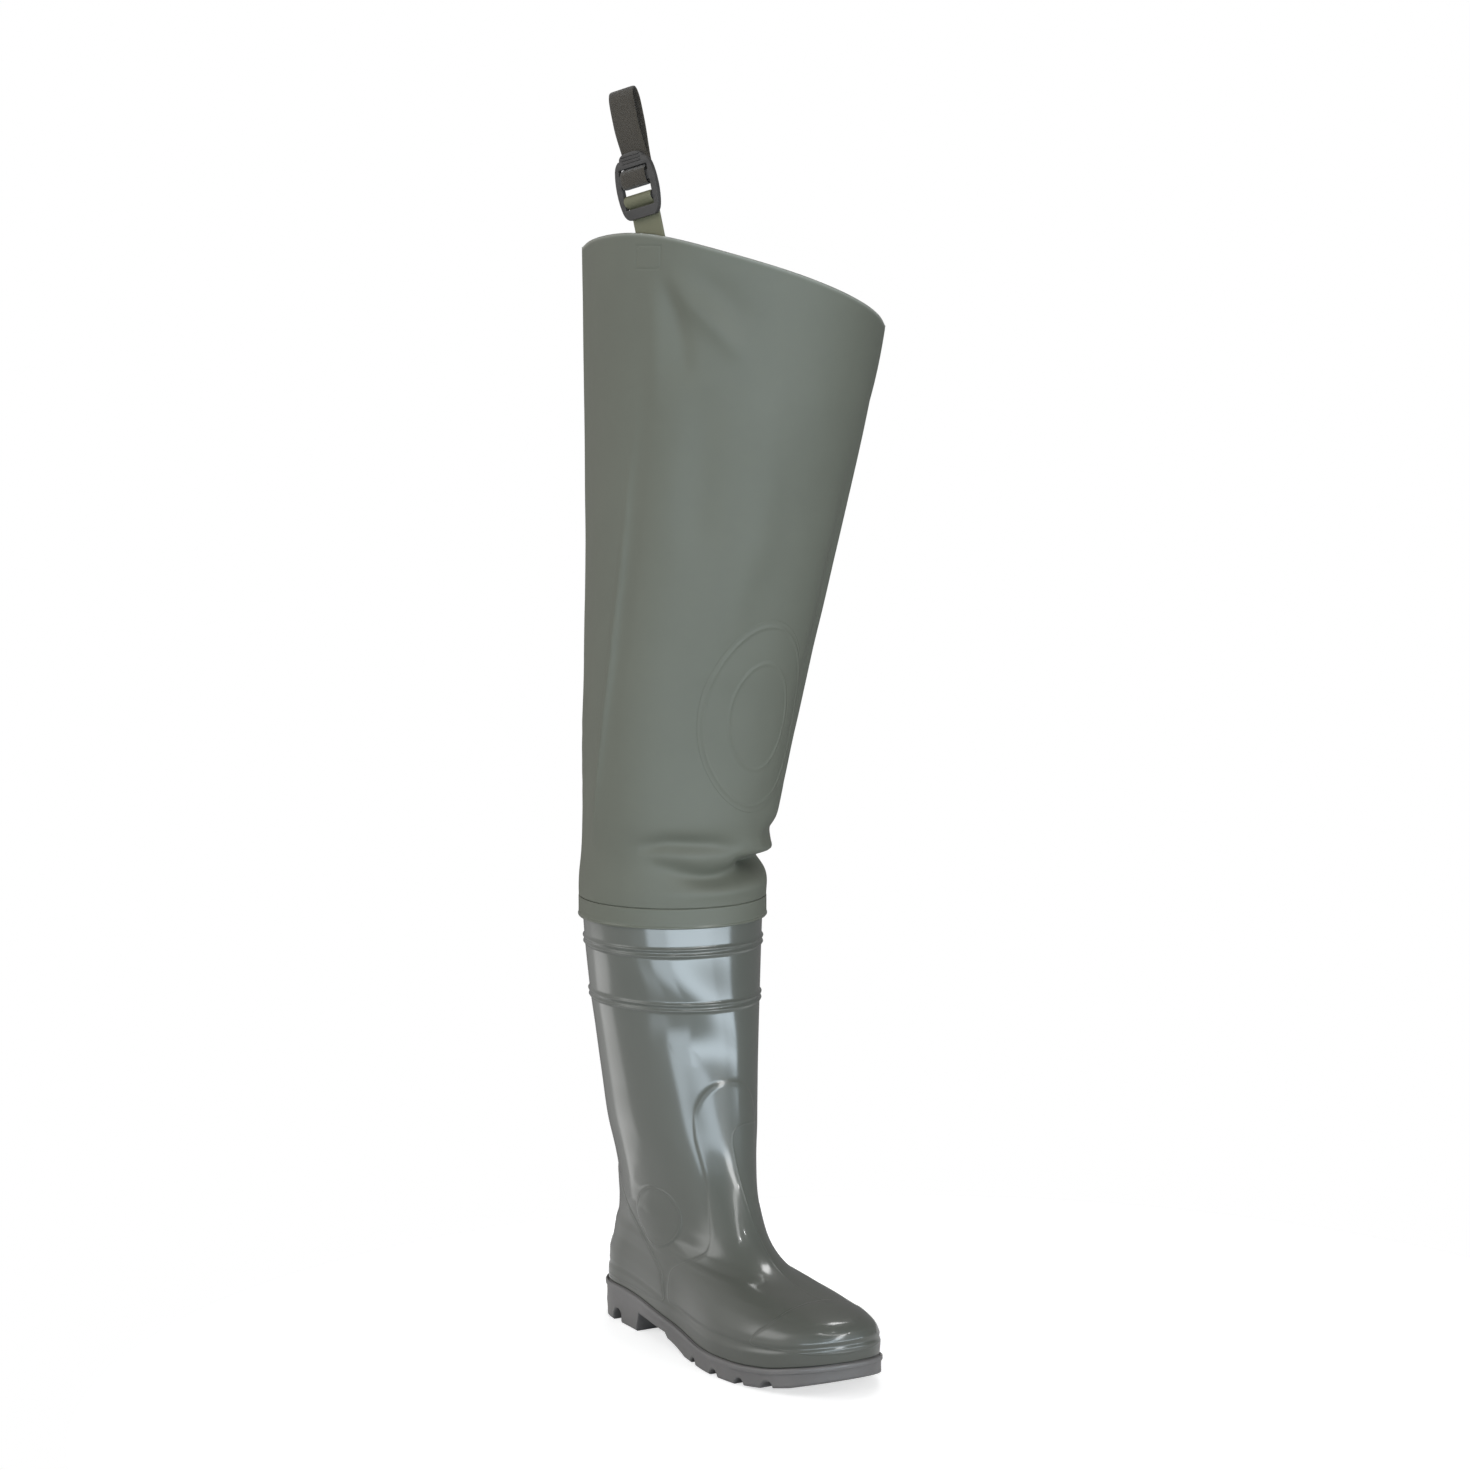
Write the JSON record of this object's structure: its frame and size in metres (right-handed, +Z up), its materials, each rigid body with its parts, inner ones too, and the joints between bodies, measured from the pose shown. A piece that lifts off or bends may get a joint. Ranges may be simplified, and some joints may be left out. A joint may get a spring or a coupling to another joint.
{
  "type": "thigh wader",
  "caption": "Right thigh wader: moulded boot with a lugged sole and ribbed shaft, flared coated-cloth leg and a buckled belt strap.",
  "frame": {"origin": "on the floor under the centre of the heel's tread", "axes": "+Z up, -Y towards the toe, -X towards the wearer's outer side, where the strap is"},
  "size_m": [0.2364, 0.3592, 0.9529],
  "materials": {
    "boot_green": "glossy moulded vinyl",
    "sole_grey": "satin moulded vinyl",
    "leg_green": "satin vinyl-coated cloth",
    "webbing_brown": "matte woven webbing",
    "buckle_black": "satin moulded plastic",
    "insole_felt": "matte felt"
  },
  "bodies": {
    "root": {"outsole": "sole_grey", "boot_upper": "boot_green", "insole": "insole_felt", "leg": "leg_green", "joint_band": "leg_green", "knee_patch": "leg_green", "inseam_tape": "leg_green", "strap_tab": "leg_green", "buckle": "buckle_black", "webbing_strap": "webbing_brown"}
  },
  "joints": []
}
